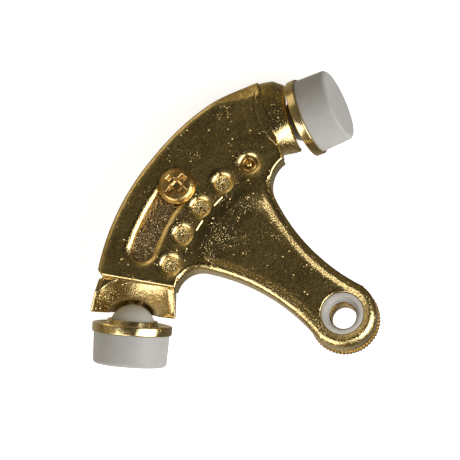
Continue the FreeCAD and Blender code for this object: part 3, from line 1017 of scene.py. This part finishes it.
def make_ball(name, centre, inward, body):
    """White ball with its flared mouth."""
    cone = math.radians(BALL_CONE)
    outer = [(BALL_R * math.sin(t), BALL_R * math.cos(t), 0)
             for t in np.linspace(math.pi, cone, 60)]
    inner = [(KNOB_R * math.sin(t), KNOB_R * math.cos(t), 0)
             for t in np.linspace(cone, math.pi, 24)]
    outer[-1] = (*outer[-1][:2], 0.3)
    profile = rounded(outer + inner)
    profile[np.abs(profile[:, 0]) < 1e-9, 0] = 0
    obj = place(lathe("ball_skin_" + name, profile, 128), centre, inward)
    install(obj, body, "white_nylon", ["swivel_ball_" + name])


make_body()
make_arm()
make_screw()
make_pin()
make_collar()
make_bushing()
make_bumper("fixed", BALL_A, OUTWARD_A, "bumper_fixed")
make_bumper("moving", BALL_B, OUTWARD_B, "bumper_moving")
make_ball("fixed", BALL_A, aim(OUTWARD_A[0], 0) * -1, "ball_fixed")
make_ball("moving", BALL_B, aim(180 + OUTWARD_B[0], -BOSS_DIP), "ball_moving")
for node in ("lock_washer", "clamp_nut", "swivel_stud_fixed", "swivel_stud_moving"):
    paint(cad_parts[node], FINISH["zinc_steel"])


# ---------------------------------------------------------------------------
# Studio
# ---------------------------------------------------------------------------
def softbox(name, aim_at, angle, tilt, distance, size, power, colour):
    """Square area light, given by the direction that it shines from."""
    lamp = bpy.data.lights.new(name, "AREA")
    lamp.size = size
    lamp.energy = power
    lamp.color = colour
    obj = bpy.data.objects.new(name, lamp)
    bpy.context.scene.collection.objects.link(obj)
    back = aim(angle, tilt)
    obj.location = aim_at + back * distance
    obj.rotation_mode = "QUATERNION"
    obj.rotation_quaternion = (-back).to_track_quat("-Z", "Y")
    return obj


def make_world():
    """Dark ceiling, soft brown low sky on the far side and a dim ground below."""
    world = bpy.data.worlds.new("studio")
    bpy.context.scene.world = world
    world.use_nodes = True
    tree = world.node_tree
    where = tree.nodes.new("ShaderNodeTexCoord")
    split = tree.nodes.new("ShaderNodeSeparateXYZ")
    ramp = tree.nodes.new("ShaderNodeValToRGB")
    share = tree.nodes.new("ShaderNodeMapRange")
    share.inputs["From Min"].default_value = -1.0
    stops = [(0.0, (0.42, 0.38, 0.30)), (0.40, (0.20, 0.17, 0.11)), (0.50, (0.13, 0.10, 0.06)),
             (0.62, (0.30, 0.24, 0.13)), (0.78, (0.30, 0.24, 0.13)), (0.90, (0.14, 0.12, 0.07)),
             (0.965, (0.13, 0.115, 0.08)), (0.985, (0.07, 0.062, 0.042)),
             (1.0, (0.035, 0.032, 0.022))]
    elements = ramp.color_ramp.elements
    while len(elements) < len(stops):
        elements.new(0.5)
    for element, (place_at, colour) in zip(elements, stops):
        element.position = place_at
        element.color = (*colour, 1)
    tree.links.new(where.outputs["Generated"], split.inputs[0])
    tree.links.new(split.outputs["Z"], share.inputs["Value"])
    tree.links.new(share.outputs["Result"], ramp.inputs["Fac"])
    tree.links.new(ramp.outputs["Color"], tree.nodes["Background"].inputs["Color"])
    near = tree.nodes.new("ShaderNodeMapRange")
    for slot_name, value in (("From Min", -0.10), ("From Max", 0.20), ("To Min", 1.0),
                             ("To Max", 0.4)):
        near.inputs[slot_name].default_value = value
    tree.links.new(split.outputs["X"], near.inputs["Value"])
    tree.links.new(near.outputs["Result"], tree.nodes["Background"].inputs["Strength"])


def make_floor(height):
    """Plain pale floor under the lowest point."""
    half = 2500.0
    corners = [(-half, -half, 0), (half, -half, 0), (half, half, 0), (-half, half, 0)]
    obj = mesh_object("studio_floor", corners, [[0, 1, 2, 3]])
    obj.location.z = height
    paint(obj, floor_paint())
    obj.visible_glossy = False


def make_camera(target):
    """Camera nearly overhead, far off, at the height and side the object is seen from."""
    side = math.radians(6.3)
    low = math.radians(-11.7)
    distance = 1.5875
    across = 0.14605
    right = Vector((math.cos(side), 0, -math.sin(side)))
    up = Vector((-math.sin(side) * math.sin(low), math.cos(low), -math.cos(side) * math.sin(low)))
    back = right.cross(up)
    data = bpy.data.cameras.new("camera")
    data.sensor_width = 36.0
    data.lens = 36.0 * distance / across
    data.clip_start = 0.05
    data.clip_end = 50.0
    camera = bpy.data.objects.new("camera", data)
    bpy.context.scene.collection.objects.link(camera)
    camera.matrix_world = Matrix.Translation(target + back * distance) @ Matrix(
        (right, up, back)).transposed().to_4x4()
    bpy.context.scene.camera = camera


low_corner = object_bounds()[0]
middle = (CAD_BOX[0] + CAD_BOX[1]) / 2
middle.z = BALL_Z * MM
make_floor(low_corner.z)
make_world()
softbox("key", middle, -25, 34, 1.0, 0.9, 11.5, (1.0, 0.985, 0.96))
softbox("side", middle, -125, 36, 1.0, 0.75, 4.5, (1.0, 0.97, 0.95))
softbox("far", middle, 130, 30, 1.0, 0.6, 0.6, (1.0, 0.84, 0.62))
make_camera(middle + Vector((-1.7, -2.6, 0)) * MM)
bpy.context.scene.view_settings.view_transform = "Standard"
